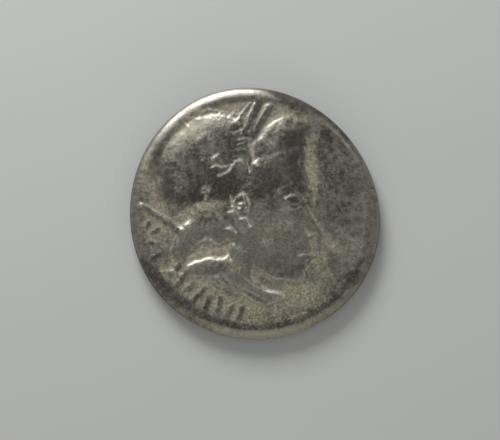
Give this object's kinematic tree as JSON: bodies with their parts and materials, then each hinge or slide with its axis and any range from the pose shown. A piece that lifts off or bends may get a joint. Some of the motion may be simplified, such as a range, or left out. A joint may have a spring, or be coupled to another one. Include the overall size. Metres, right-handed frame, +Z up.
{
  "type": "denarius coin",
  "caption": "Small round silver coin, hand struck and heavily worn, with a laureate head facing right on one side and two clasping figures on the other.",
  "frame": {"origin": "under the middle of the coin, on the surface that it lies on", "axes": "+Z up through the coin's thickness, out of the obverse; +Y towards the top of the head; +X the way the head faces"},
  "size_m": [0.0184, 0.0186, 0.0018],
  "materials": {
    "silver": null
  },
  "bodies": {
    "root": {"coin": "silver"}
  },
  "joints": []
}
